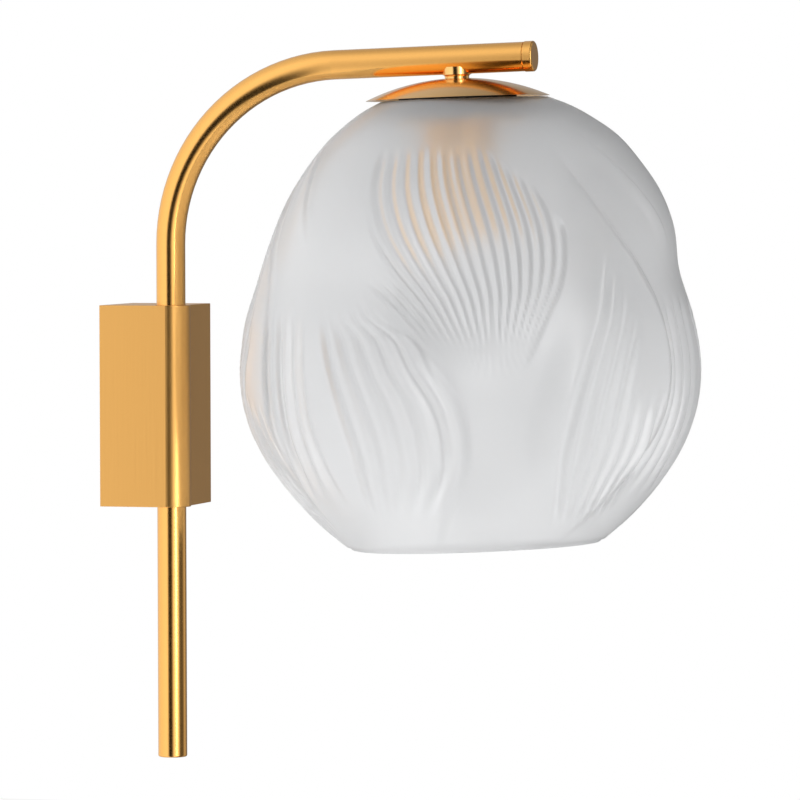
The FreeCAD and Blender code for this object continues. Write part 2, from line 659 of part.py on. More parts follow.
def pole_arm():
    """One tube: tail, pole, bend and arm, with its wiring window and stop slot."""
    body = doc.addObject("PartDesign::Body", "pole_tube")
    path = sketch_on(body, "YZ_Plane", "pole_path")
    straight = value("tail_length + box_height + bend_start")
    radius = value("bend_radius")
    end = on_arm(value(ARM_REACH))
    centre = FreeCAD.Vector(-radius, straight, 0)
    local_end = FreeCAD.Vector(end.y - pole_y, end.z - pole_foot, 0)
    bend = Part.Circle(centre, Z_AXIS, radius)
    path.addGeometry(Part.LineSegment(FreeCAD.Vector(0, 0, 0), FreeCAD.Vector(0, straight, 0)), False)
    path.addGeometry(Part.ArcOfCircle(bend, 0.0, math.pi / 2 - rise), False)
    turn_end = centre + FreeCAD.Vector(math.sin(rise), math.cos(rise), 0) * radius
    path.addGeometry(Part.LineSegment(turn_end, local_end), False)
    path.addConstraint(Sketcher.Constraint("Coincident", 0, 1, -1, 1))
    path.addConstraint(Sketcher.Constraint("Vertical", 0))
    path.addConstraint(Sketcher.Constraint("Tangent", 0, 2, 1, 1))
    path.addConstraint(Sketcher.Constraint("Tangent", 1, 2, 2, 1))
    driven = [
        (Sketcher.Constraint("DistanceY", 0, 1, 0, 2, straight), "tail_length + box_height + bend_start"),
        (Sketcher.Constraint("Radius", 1, radius), "bend_radius"),
        (Sketcher.Constraint("DistanceX", 2, 2, -1, 1, -local_end.x), ARM_REACH),
    ]
    for constraint, text in driven:
        index = path.addConstraint(constraint)
        path.setExpression(f"Constraints[{index}]", bound(text))
    index = path.addConstraint(Sketcher.Constraint("DistanceY", 2, 1, 2, 2, local_end.y - turn_end.y))
    climb = f"({ARM_REACH} - bend_radius * (1 - sin(arm_rise * 1deg))) * tan(arm_rise * 1deg)"
    path.setExpression(f"Constraints[{index}]", bound(climb))
    section = sketch_on(body, "XY_Plane", "pole_section")
    for index, text in enumerate(("pole_radius", TUBE_BORE)):
        section.addGeometry(Part.Circle(FreeCAD.Vector(0, 0, 0), Z_AXIS, value(text)), False)
        section.addConstraint(Sketcher.Constraint("Coincident", index, 3, -1, 1))
        size = section.addConstraint(Sketcher.Constraint("Radius", index, value(text)))
        section.setExpression(f"Constraints[{size}]", bound(text))
    doc.recompute()
    pipe = body.newObject("PartDesign::AdditivePipe", "pole_pipe")
    pipe.Profile = section
    pipe.Spine = (path, ["Edge1", "Edge2", "Edge3"])
    doc.recompute()
    body.Placement = at(pole_x, pole_y, pole_foot)

    def slot(level, height, side_reach):
        """A pie slice through the tube's wall, centred on the inward direction."""
        half = f"swing_limit * 1deg + asin(({side_reach}) / pole_radius)"
        turn = FreeCAD.Rotation(Z_AXIS, INWARD - value(half))
        return cylinder("pole_radius + barrel_wall", height, at(pole_x, pole_y, level, turn), f"2 * ({half})")

    window = slot(value("window_level - window_height / 2"), "window_height", "window_height / 2")
    track_height = "2 * dog_radius + 2 * slot_gap"
    track = slot(value(f"stop_level - ({track_height}) / 2"), track_height, "dog_radius + slot_gap")
    lead_hole = cylinder("nipple_radius + fit_gap", "pole_radius + pole_wall", hung("pole_radius + pole_wall"))
    return keep("pole_arm", cut(body, window, track, lead_hole))


def end_caps():
    """Cap under the pole, and the slightly larger cap on the arm's end."""
    spigot = f"{TUBE_BORE} - fit_gap"
    outline = [
        ("0", "-plug_length"),
        ("pole_radius", "-plug_length"),
        ("pole_radius", "0"),
        (spigot, "0"),
        (spigot, "spigot_length"),
        ("0", "spigot_length"),
    ]
    foot = turned("pole_end_cap", outline, at(pole_x, pole_y, pole_foot))
    low = -value("plug_length")
    round_edges(foot, lambda box: box.ZMax < low + TOUCH and box.XLength > TOUCH, "cap_rounding")
    groove_radius = "pole_radius - cap_groove_depth"
    outline = [
        ("0", "cap_groove + cap_length"),
        ("cap_radius", "cap_groove + cap_length"),
        ("cap_radius", "cap_groove"),
        (groove_radius, "cap_groove"),
        (groove_radius, "0"),
        (spigot, "0"),
        (spigot, "-spigot_length"),
        ("0", "-spigot_length"),
    ]
    turn = FreeCAD.Rotation(X_AXIS, 90 - math.degrees(rise))
    tip = turned("arm_end_cap", outline, FreeCAD.Placement(on_arm(value(ARM_REACH)), turn))
    high = value("cap_groove + cap_length")
    round_edges(tip, lambda box: box.ZMin > high - TOUCH and box.XLength > TOUCH, "cap_rounding")


CANOPY_SPHERE = "((canopy_radius ^ 2 + canopy_height ^ 2) / (2 * canopy_height))"
CANOPY_APEX = "(canopy_drop - canopy_height)"


def neck_stem():
    """Short flared neck, saddled on the arm and standing on the canopy."""
    sag = f"({CANOPY_SPHERE} - sqrt({CANOPY_SPHERE} ^ 2 - nipple_radius ^ 2))"
    bottom = f"-({CANOPY_APEX} + {sag})"
    flare = "(stem_flare - stem_radius)"
    corner = "-(pole_radius + stem_shoulder)"
    outline = [("nipple_radius + fit_gap", bottom), ("stem_radius", bottom)]
    for step in range(FLARE_STEPS + 1):
        part = math.pi / 2 * step / FLARE_STEPS
        out = 1 - math.cos(part)
        down = 1 - math.sin(part)
        outline.append((f"stem_radius + {flare} * {out:.4f}", f"{corner} - {flare} * {down:.4f}"))
    outline.append(("stem_flare", "-pole_radius / 2"))
    outline.append(("nipple_radius + fit_gap", "-pole_radius / 2"))
    blank = turned("neck_blank", outline)
    pieces.remove(blank)
    arm = cylinder("pole_radius", "4 * stem_flare",
                   at(0, value("2 * stem_flare"), 0, FreeCAD.Rotation(X_AXIS, 90)))
    return keep("neck_stem", cut(blank, arm), hung("0"))


def spherical_cap(radius, rim_level):
    """The part of a ball above a level, measured from the ball's centre."""
    item = doc.addObject("Part::Sphere", "Ball_cap")
    bind(item, Radius=radius, Angle1=f"asin(({rim_level}) / ({radius}))")
    item.Angle2 = 90.0
    return item


def canopy():
    """Shallow spun cap with a hole for the nipple."""
    level = f"{CANOPY_SPHERE} - canopy_height"
    outer = spherical_cap(CANOPY_SPHERE, level)
    inner = spherical_cap(f"{CANOPY_SPHERE} - canopy_wall", level)
    hole = cylinder("nipple_radius + fit_gap", CANOPY_SPHERE, at())
    shell = cut(outer, inner, hole)
    return keep("canopy", shell, hung(f"canopy_drop + {level}"))


def hexagon_nut(label, height, place):
    prism = doc.addObject("Part::Prism", f"{label}_blank")
    prism.Polygon = 6
    bind(prism, Circumradius="nut_radius", Height=height)
    return keep(label, cut(prism, cylinder("nipple_radius + fit_gap", height)), place)


# Levels on the shade's axis, as drops below the arm's axis.
GLASS_TOP = "(canopy_drop + shade_drop)"
DISC_TOP = f"({GLASS_TOP} - upper_gasket - disc_thickness)"
COLLAR_FOOT = f"({GLASS_TOP} + shade_collar)"
PLATE_TOP = f"({COLLAR_FOOT} + lower_gasket)"
HOLDER_TOP = f"({PLATE_TOP} + plate_thickness)"
HOLDER_FOOT = f"({HOLDER_TOP} + holder_length)"
CERAMIC_FOOT = f"({HOLDER_FOOT} - holder_recess)"
CERAMIC_TOP = f"({CERAMIC_FOOT} - ceramic_length)"
SOCKET_TOP = f"({CERAMIC_TOP} + ceramic_floor)"
SHELL_TOP = f"({SOCKET_TOP} + contact_height + contact_gap)"
NIPPLE_TOP = "(pole_radius + nipple_clear)"
NIPPLE_FOOT = f"({HOLDER_TOP} + holder_wall + holder_nut_height + nipple_proud)"


def shade_mounting():
    """Everything clamped on the nipple, from the canopy's nut down to the brass plate."""
    length = f"{NIPPLE_FOOT} - {NIPPLE_TOP}"
    keep("hollow_nipple", ring("nipple_radius", "nipple_bore", length), hung(NIPPLE_FOOT))
    inner_ball = f"({CANOPY_SPHERE} - canopy_wall)"
    nut_top = f"({CANOPY_APEX} + canopy_wall + {inner_ball} - sqrt({inner_ball} ^ 2 - nut_radius ^ 2))"
    hexagon_nut("canopy_nut", f"{DISC_TOP} - {nut_top}", hung(DISC_TOP))
    hole = "nipple_radius + fit_gap"
    keep("clamp_disc", ring("disc_radius", hole, "disc_thickness"), hung(f"{DISC_TOP} + disc_thickness"))
    keep("upper_gasket", ring("gasket_radius", "shade_hole + gasket_step", "upper_gasket"), hung(GLASS_TOP))
    keep("lower_gasket", ring("gasket_radius", "shade_hole + gasket_step", "lower_gasket"), hung(PLATE_TOP))
    keep("clamp_plate", ring("plate_radius", hole, "plate_thickness"), hung(HOLDER_TOP))


def row_at(rows, share):
    """Every column of a table at a share of the height, on cubic curves through its rows."""
    last = len(rows) - 1
    left = max(index for index in range(last) if rows[index][0] <= share)
    span = rows[left + 1][0] - rows[left][0]
    part = (share - rows[left][0]) / span
    rest = 1 - part
    result = []
    for column in range(1, len(rows[0])):
        slopes = []
        for index in (left, left + 1):
            above = rows[max(index - 1, 0)]
            below = rows[min(index + 1, last)]
            slopes.append((below[column] - above[column]) / (below[0] - above[0]))
        level = rows[left][column] * (1 + 2 * part) * rest**2 + rows[left + 1][column] * (3 - 2 * part) * part**2
        result.append(level + span * part * rest * (slopes[0] * rest - slopes[1] * part))
    return result


def climb(place, start, end):
    """0 before start, 1 after end, smooth between them."""
    part = min(max((place - start) / (end - start), 0), 1)
    return part**2 * (3 - 2 * part)


def fold_height(share, angle):
    """The folds of one period over the petals, at degrees from FOLD_ZERO: a hollow, and two rising flanks that
    each end in a crease."""
    middle, width, left_crease, foot, shoulder, right_crease, hollow, left, right = row_at(FOLD_ROWS, share)
    half = CREASE_WIDTH / 2
    height = -value("valley_depth") * hollow * math.exp(-((angle - middle) / width) ** 2)
    past = climb(angle, right_crease - half, right_crease + half)
    height += value("right_fold") * right * climb(angle, foot, shoulder) * (1 - past)
    start = right_crease - PERIOD
    run = min(max((angle - start) / (left_crease - start), 0), 1)
    past = climb(angle, left_crease - half, left_crease + half)
    return height + value("left_fold") * left * run**FOLD_SLOPE * (1 - past)


def all_folds(share, angle):
    """The folds of an angle's own period and of the periods beside it."""
    own = (angle - FOLD_ZERO + PERIOD / 2) % PERIOD - PERIOD / 2
    return sum(fold_height(share, own + turn * PERIOD) for turn in (-1, 0, 1))


def shade_radius(share, angle):
    """Outer radius of the glass. The folds add nothing on the crests of the petals and midway between them."""
    row, bulge_share = row_at(SHADE_ROWS, share)
    mouth = SHADE_ROWS[-1][1]
    mean = value("shade_mouth") + (row - mouth) / (1 - mouth) * value("shade_belly - shade_mouth")
    wave = math.cos(math.radians(PETALS * (angle - PETAL_CREST)))
    crest = all_folds(share, PETAL_CREST)
    between = all_folds(share, PETAL_CREST + PERIOD / 2)
    taken = (crest + between) / 2 + (crest - between) / 2 * wave
    return mean + value("petal_bulge") * bulge_share * wave + all_folds(share, angle) - taken


def shade_section(share, inset):
    """One closed, smooth cross-section of the glass, set in from its outside."""
    points = []
    for step in range(SECTION_POINTS):
        angle = FOLD_ZERO + 360.0 * step / SECTION_POINTS
        radius = shade_radius(share, angle) - inset
        across = math.radians(angle)
        points.append(FreeCAD.Vector(radius * math.cos(across), radius * math.sin(across),
                                     -share * value("shade_height")))
    curve = Part.BSplineCurve()
    curve.interpolate(Points=points, PeriodicFlag=True, Parameters=list(range(SECTION_POINTS + 1)))
    return Part.Wire(curve.toShape())


def glass_shade():
    """Moulded glass: a skin through its cross-sections, hollowed by the same skin set in by the wall."""
    height = value("shade_height")
    wall = value("shade_wall")
    collar = value("shade_collar")
    outer = Part.makeLoft([shade_section(share, 0.0) for share in SECTION_SHARES], True, False)
    inner_sections = [shade_section(collar / height, wall * CEILING_INSET)]
    for above, share in zip(SECTION_SHARES, SECTION_SHARES[1:]):
        if share * height < collar + wall:
            continue
        slope = (shade_radius(share, 0) - shade_radius(above, 0)) / ((share - above) * height)
        inner_sections.append(shade_section(share, wall * math.hypot(1, max(slope, 0))))
    inner = Part.makeLoft(inner_sections, True, False)
    hole = Part.makeCylinder(value("shade_hole"), 3 * collar, FreeCAD.Vector(0, 0, -2 * collar))
    item = doc.addObject("Part::Feature", "glass_shade")
    item.Shape = outer.cut(inner).cut(hole)
    return keep("glass_shade", item, hung(GLASS_TOP))


def lampholder():
    """Brass cup with a ceramic body, screw shell and centre contact, held by a nut on the nipple."""
    inside = "holder_radius - holder_wall"
    length = "holder_length"
    outline = [
        ("nipple_radius + fit_gap", "0"),
        ("holder_radius", "0"),
        ("holder_radius", f"-{length}"),
        (inside, f"-{length}"),
        (inside, "-holder_wall"),
        ("nipple_radius + fit_gap", "-holder_wall"),
    ]
    turned("holder_cup", outline, hung(HOLDER_TOP))
    hexagon_nut("holder_nut", "holder_nut_height", hung(f"{HOLDER_TOP} + holder_wall + holder_nut_height"))
    ceramic = "holder_radius - holder_wall - 2 * fit_gap"
    socket = "socket_radius + socket_wall + fit_gap"
    outline = [
        ("0", "0"),
        (ceramic, "0"),
        (ceramic, "-ceramic_length"),
        (socket, "-ceramic_length"),
        (socket, "-ceramic_floor"),
        ("0", "-ceramic_floor"),
    ]
    turned("holder_ceramic", outline, hung(CERAMIC_TOP))
    shell = ring("socket_radius + socket_wall", "socket_radius", "socket_length")
    keep("screw_shell", shell, hung(f"{SHELL_TOP} + socket_length"))
    contact = cone("contact_tip", "contact_radius", "contact_height")
    keep("centre_contact", contact, hung(f"{SOCKET_TOP} + contact_height"))


def leads():
    """The sheathed lead in two lengths, which meet on the pole's axis so that the pole can turn."""
    radius = value("lead_radius")
    bend = value("lead_bend")
    stub = value("lead_stub")
    level = value("window_level")
    axis_point = FreeCAD.Vector(pole_x, pole_y, level)
    block_top = block_level() + value("terminal_height / 2")
    run = (-value("bracket_thickness + terminal_depth / 2") - pole_y) / inward.y
    riser = axis_point + inward * run
    path = rounded_path(
        [
            FreeCAD.Vector(riser.x, riser.y, block_top),
            riser,
            axis_point,
            axis_point + Z_AXIS * (bend + stub),
        ],
        [bend, bend],
    )
    swept_lead("box_lead", path, radius)
    ceramic_top = hung(CERAMIC_TOP).Base
    reach = value("bend_radius") * math.tan((math.pi / 2 - rise) / 2)
    arm_corner = FreeCAD.Vector(pole_x, pole_y, bend_level + reach)
    path = rounded_path(
        [axis_point + Z_AXIS * (bend + stub), arm_corner, hang_point, ceramic_top],
        [value("bend_radius"), bend],
    )
    swept_lead("arm_lead", path, radius)


wall_bracket()
wall_box()
box_screws()
cable_grommet()
terminal_block()
terminal_screws()
block_screw()
earth_screw()
bushes()
stop_screw()
pole_arm()
end_caps()
neck_stem()
canopy()
shade_mounting()
glass_shade()
lampholder()
leads()
doc.recompute()

faults = [item.Label for item in doc.Objects if {"Invalid", "Error"} & set(item.State)]
for piece in pieces:
    if piece.Shape.isNull() or not piece.Shape.isValid():
        faults.append(piece.Label)
if faults:
    raise SystemExit(f"not sound: {faults}")
os.makedirs("parts", exist_ok=True)
for piece in pieces:
    piece.Shape.exportStep(f"parts/{piece.Label}.step")
    print(f"{piece.Label}: {len(piece.Shape.Solids)} solid(s), {piece.Shape.Volume / 1000:.3f} cm3")
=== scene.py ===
"""Wall light: finishes, moulded glass and studio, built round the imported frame.

Metres, +Z up, the wall is the plane Y = 0 and the lamp reaches out along -Y. Angles on the glass are in
degrees, counted from the camera's direction; heights on it are shares from its top (0) to its mouth (1).
"""
import json
import math

import bpy
import numpy as np
from mathutils import Matrix, Vector


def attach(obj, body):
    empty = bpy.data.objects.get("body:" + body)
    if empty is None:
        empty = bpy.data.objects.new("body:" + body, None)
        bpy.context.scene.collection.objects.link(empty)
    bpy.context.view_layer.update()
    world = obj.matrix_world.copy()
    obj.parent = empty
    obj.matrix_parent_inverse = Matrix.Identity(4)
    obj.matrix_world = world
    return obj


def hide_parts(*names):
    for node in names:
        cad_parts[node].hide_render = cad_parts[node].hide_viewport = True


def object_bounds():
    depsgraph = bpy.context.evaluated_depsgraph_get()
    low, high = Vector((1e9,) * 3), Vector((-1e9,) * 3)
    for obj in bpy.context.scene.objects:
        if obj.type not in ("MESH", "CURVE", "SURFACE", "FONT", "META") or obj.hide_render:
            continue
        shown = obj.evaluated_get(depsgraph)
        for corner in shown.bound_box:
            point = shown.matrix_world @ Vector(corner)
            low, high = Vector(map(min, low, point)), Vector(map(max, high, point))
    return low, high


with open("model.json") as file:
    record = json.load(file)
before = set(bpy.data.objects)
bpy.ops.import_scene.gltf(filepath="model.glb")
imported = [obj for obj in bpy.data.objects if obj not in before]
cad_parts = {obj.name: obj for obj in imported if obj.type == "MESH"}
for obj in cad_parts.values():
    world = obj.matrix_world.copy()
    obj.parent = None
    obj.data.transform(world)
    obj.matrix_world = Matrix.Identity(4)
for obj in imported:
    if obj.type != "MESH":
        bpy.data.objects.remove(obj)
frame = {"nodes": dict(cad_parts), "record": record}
CAD_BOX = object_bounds()

MM = 0.001

# Camera: degrees, metres, and millimetres for the lens. AIM_POINT falls on AIM_PIXEL of a square picture.
VIEW_AZIMUTH = 196.0
VIEW_ELEVATION = 2.3
VIEW_ROLL = -0.14
VIEW_DISTANCE = 3.1886
VIEW_LENS = 261.0
VIEW_SENSOR = 36.0
VIEW_REACH = 50.0
AIM_POINT = (-0.0183, -0.038, 0.190)
AIM_PIXEL = (170.0, 60.5)
PICTURE = 800.0

# Glass, in millimetres and degrees. LIP_TURNS are the angles of the rows round its lip. The wall keeps its
# thickness on slopes up to STEEPEST, and within LIP_SHARE of the height it goes over to the lip's inset.
# MOUTH_SHARE is the last of the mean radii below.
LOBES = 3
PERIOD = 360.0 / LOBES
GLASS_TOP_ABOVE_SOCKET = 54.45
GLASS_HEIGHT = 242.2
GLASS_WALL = 4.0
GLASS_COLLAR = 6.0
GLASS_HOLE = 21.0
BELLY = 125.7
MOUTH = 68.0
PETAL_SWELL = 4.6
MOUTH_SHARE = 0.54
LIP_HEIGHT = 1.2
LIP_TURNS = (30.0, 60.0, 90.0, 120.0, 150.0)
LIP_SHARE = 0.06
STEEPEST = 1.6
GLASS_IOR = 1.45
# Share of the height, mean radius as a share of the belly's, share of the petal swell.
GLASS_ROWS = [
    (0.000, 0.360, 0.75), (0.018, 0.438, 0.95), (0.045, 0.522, 1.15), (0.090, 0.630, 1.40),
    (0.150, 0.724, 1.43), (0.220, 0.807, 1.45), (0.300, 0.867, 1.22), (0.400, 0.910, 0.53),
    (0.500, 0.967, 0.43), (0.600, 0.996, 0.39), (0.700, 0.973, 0.46), (0.790, 0.903, 0.58),
    (0.870, 0.798, 0.60), (0.940, 0.676, 0.50), (1.000, 0.540, 0.30),
]
# Share of the height; the valley's middle, its half width, the crease of the fold on its left, and the foot,
# shoulder and crease of the fold on its right; shares of the valley's depth and of the two folds' heights.
FOLD_ROWS = [
    (0.00, 4.0, 26.0, -40.0, 15.0, 44.0, 36.0, 0.00, 0.00, 0.00),
    (0.10, 4.0, 26.0, -40.0, 15.0, 44.0, 37.0, 0.00, 0.00, 0.00),
    (0.20, 4.0, 26.0, -40.0, 15.0, 44.0, 42.5, 0.00, 0.00, 0.55),
    (0.30, 4.0, 25.0, -38.0, 15.0, 43.0, 48.5, 0.15, 0.00, 0.75),
    (0.40, 4.0, 22.0, -30.0, 18.0, 40.5, 55.5, 0.32, 0.00, 0.85),
    (0.50, 5.0, 18.0, -18.0, 22.0, 34.5, 59.5, 0.58, 0.35, 0.95),
    (0.60, 8.0, 14.0, -9.0, 17.5, 29.5, 60.5, 0.83, 0.90, 1.00),
    (0.70, 9.0, 13.0, -3.0, 14.0, 26.0, 60.0, 0.98, 1.00, 1.00),
    (0.80, 10.0, 13.0, -2.8, 15.0, 27.0, 57.0, 0.98, 1.00, 0.95),
    (0.90, 9.0, 14.0, -8.5, 18.5, 30.5, 49.5, 0.72, 0.80, 0.65),
    (1.00, 9.0, 15.0, -16.5, 22.0, 34.0, 38.0, 0.14, 0.12, 0.02),
]
VALLEY_DEPTH = 7.2
LEFT_FOLD = 4.4
RIGHT_FOLD = 3.2
FOLD_SLOPE = 1.3
# Where a fold falls back: how many degrees before and past its crease.
LEFT_CREASE = (1.2, 2.2)
RIGHT_CREASE = (1.5, 1.8)

# First and last groove of each family of ribs, as share and angle down the glass.
FAN_LEFT = [(0.10, -43.0), (0.187, -42.5), (0.281, -38.4), (0.362, -30.8), (0.45, -19.3), (0.54, -10.0),
            (0.60, -5.0), (0.70, -0.5), (0.78, 2.0)]
FAN_RIGHT = [(0.10, 25.0), (0.187, 27.5), (0.281, 29.7), (0.35, 28.8), (0.418, 25.6), (0.488, 20.5),
             (0.56, 16.0), (0.60, 14.0), (0.665, 10.9), (0.78, 8.5)]
LEFT_FIRST = [(0.40, -39.5), (0.494, -38.3), (0.646, -33.6), (0.749, -31.5), (0.816, -31.9), (0.93, -35.0)]
LEFT_LAST = [(0.40, -27.0), (0.475, -22.6), (0.52, -14.6), (0.593, -9.7), (0.667, -4.5), (0.74, -2.4),
             (0.828, -3.6), (0.933, -11.3), (1.00, -16.0)]
RIGHT_FIRST = [(0.30, 46.0), (0.357, 43.0), (0.458, 37.8), (0.60, 29.9), (0.707, 26.6), (0.802, 26.3),
               (0.922, 30.4), (1.00, 34.0)]
RIGHT_LAST = [(0.30, 66.0), (0.40, 63.5), (0.50, 62.0), (0.60, 57.5), (0.68, 55.7), (0.78, 56.4),
              (0.87, 55.0), (0.93, 56.0), (1.00, 58.0)]
FAR_FIRST = [(0.40, -64.5), (0.50, -60.5), (0.65, -59.6), (0.72, -60.8), (0.83, -64.4), (0.94, -75.0)]
FAR_LAST = [(0.40, -46.0), (0.50, -46.0), (0.65, -44.6), (0.72, -44.5), (0.83, -44.0), (0.94, -43.0)]

# Of each family: spaces from its first groove to its last, depth of its grooves, and how sharp they are.
FAN_SPACES, FAN_DEPTH, FAN_SHARP = 17, 1.9, -0.35
LEFT_SPACES, LEFT_DEPTH, LEFT_SHARP = 5, 2.8, 0.85
RIGHT_SPACES, RIGHT_DEPTH, RIGHT_SHARP = 6, 2.5, 0.3
FAR_SPACES, FAR_DEPTH, FAR_SHARP = 3, 2.2, 0.4
# Shares of the height between which a family fades out below, and the far one fades in above.
FAN_END = (0.49, 0.62)
LEFT_END = (0.84, 0.93)
RIGHT_END = (0.88, 0.96)
FAR_START, FAR_END = (0.44, 0.52), (0.80, 0.91)
# Where a family fades in at its first groove and out at its last, in spaces from that groove.
FADE_IN = (-0.5, 0.1)
WIDE_FADE = (-0.1, 0.5)
SHORT_FADE = (-0.16, 0.16)

# Narrow ridge on the shoulder: its line as share and angle, the shares where it fades in and out, its height,
# and the widths of its gentle side and its steep side.
SHOULDER_LINE = [(0.07, 52.0), (0.095, 54.6), (0.160, 61.0), (0.221, 65.9), (0.281, 70.4), (0.34, 73.0)]
SHOULDER_START, SHOULDER_END = (0.07, 0.13), (0.24, 0.36)
SHOULDER_HEIGHT = 1.6
SHOULDER_RISE = 14.0
SHOULDER_FALL = 1.8

# Rows and columns of the glass's mesh.
COLUMNS = 480
FLAT_ROWS = 4
OUTER_ROWS = 132
INNER_ROWS = 34
CEILING_ROWS = 4

# Studio round the lamp: brightness at shares of a full turn from +X, and at heights from down (0) to up (1).
PANELS = [(0.00, 0.22), (0.06, 0.60), (0.18, 1.00), (0.40, 1.30), (0.450, 1.25), (0.470, 0.02), (0.54, 0.02),
          (0.57, 0.90), (0.60, 1.50), (0.68, 1.40), (0.72, 0.12), (0.80, 0.12), (0.87, 0.70), (0.92, 0.22),
          (1.00, 0.22)]
CEILING = [(0.00, 0.85), (0.42, 1.00), (0.58, 1.00), (0.80, 0.95), (0.93, 0.80), (1.00, 0.58)]
WHITE = (1.0, 1.0, 1.0, 1.0)
SOFT_COLOUR = (0.95, 0.97, 1.0, 1.0)
SOFT_STRENGTH = 0.40

# Lights: name, place, width and height in metres, power in watts, and whether the metal mirrors it.
LIGHTS_AIM = (-0.02, -0.18, 0.03)
LIGHTS = [
    ("strip", (-1.25, -1.55, 0.45), (0.30, 1.8), 10.0, True),
    ("window", (-1.10, 1.60, -0.30), (0.7, 1.0), 41.0, False),
    ("overhead", (-0.6, 0.2, 1.8), (1.2, 1.2), 5.0, False),
    ("low", (-0.80, -1.60, -0.95), (0.8, 0.8), 21.0, False),
]

# The floor is low enough to stay out of the photograph's view, but for a few pixels in its lower left corner,
# and wide enough to fill the views from 15 degrees up.
FLOOR_DROP = 1.3
FLOOR_HALF = 11.0
FLOOR_WHITE = 0.9

# Depths of the fine bumps on the finishes, in metres.
SCRATCH_DEPTH = 0.0002
GRAIN_DEPTH = 0.0001
# Sockets of the node that mixes two colours.
MIX_FIRST, MIX_SECOND, MIX_RESULT = 6, 7, 2


# ---------------------------------------------------------------- shapes

def ramp(at, start, end):
    """0 before start, 1 after end, smooth between them."""
    part = np.clip((at - start) / (end - start), 0.0, 1.0)
    return part * part * (3.0 - 2.0 * part)


def smooth_through(at, points, column=1):
    """Cubic curves through listed points, level past the ends. The slope at a point is that of the line
    between its neighbours."""
    table = np.array(points, float)
    known, values = table[:, 0], table[:, column]
    before = np.maximum(np.arange(len(known)) - 1, 0)
    after = np.minimum(np.arange(len(known)) + 1, len(known) - 1)
    slopes = (values[after] - values[before]) / (known[after] - known[before])
    at = np.clip(at, known[0], known[-1])
    left = np.clip(np.searchsorted(known, at, side="right") - 1, 0, len(known) - 2)
    span = known[left + 1] - known[left]
    part = (at - known[left]) / span
    rest = 1.0 - part
    return (values[left] * (1 + 2 * part) * rest ** 2 + values[left + 1] * (3 - 2 * part) * part ** 2
            + span * part * rest * (slopes[left] * rest - slopes[left + 1] * part))


def over_periods(relief, angle, share):
    """Sum of a relief, given for one period, over an angle's own period and the periods beside it."""
    own = (angle + PERIOD / 2) % PERIOD - PERIOD / 2
    return sum(relief(own + turn * PERIOD, share) for turn in (-1, 0, 1))


def rib_wave(phase, sharp):
    """Ribs with a groove at each whole phase: 0 in the grooves, 1 on the crowns.

    A positive sharpness narrows the grooves to arches that meet in a V, a negative one narrows the crowns.
    """
    plain = 0.5 - 0.5 * np.cos(2 * np.pi * phase)
    arched = np.abs(np.sin(np.pi * phase)) if sharp > 0 else 1.0 - np.abs(np.cos(np.pi * phase))
    return plain * (1 - abs(sharp)) + arched * abs(sharp)


def grooves(angle, share, first, last, spaces, sharp, fade_out=WIDE_FADE):
    """Depth of a family of grooves as a share, and the phase across it: 0 at its first groove, and a whole
    number at each of the others."""
    low = smooth_through(share, first)
    high = smooth_through(share, last)
    phase = spaces * (angle - low) / (high - low)
    shown = ramp(phase, *FADE_IN) * (1 - ramp(phase, spaces + fade_out[0], spaces + fade_out[1]))
    return (1 - rib_wave(phase, sharp)) * shown, phase


def one_fold(angle, share):
    """Height of one period's folds. The valley is hollowed by a bell curve, and the flank on either side of
    it rises away from the crease before and falls back at its own."""
    middle, width, left_crease, foot, shoulder, right_crease, hollow, left, right = (
        smooth_through(share, FOLD_ROWS, column) for column in range(1, 10))
    relief = -VALLEY_DEPTH * hollow * np.exp(-((angle - middle) / width) ** 2)
    relief = relief + RIGHT_FOLD * right * ramp(angle, foot, shoulder) * (
        1 - ramp(angle, right_crease - RIGHT_CREASE[0], right_crease + RIGHT_CREASE[1]))
    start = right_crease - PERIOD
    run = np.clip((angle - start) / (left_crease - start), 0.0, 1.0)
    return relief + LEFT_FOLD * left * run ** FOLD_SLOPE * (
        1 - ramp(angle, left_crease - LEFT_CREASE[0], left_crease + LEFT_CREASE[1]))


def one_shoulder(angle, share):
    """Height of the narrow ridge on the shoulder between two petals."""
    ridge = smooth_through(share, SHOULDER_LINE)
    shown = ramp(share, *SHOULDER_START) * (1 - ramp(share, *SHOULDER_END))
    rise = ramp(angle, ridge - SHOULDER_RISE, ridge)
    return SHOULDER_HEIGHT * shown * rise * (1 - ramp(angle, ridge, ridge + SHOULDER_FALL))


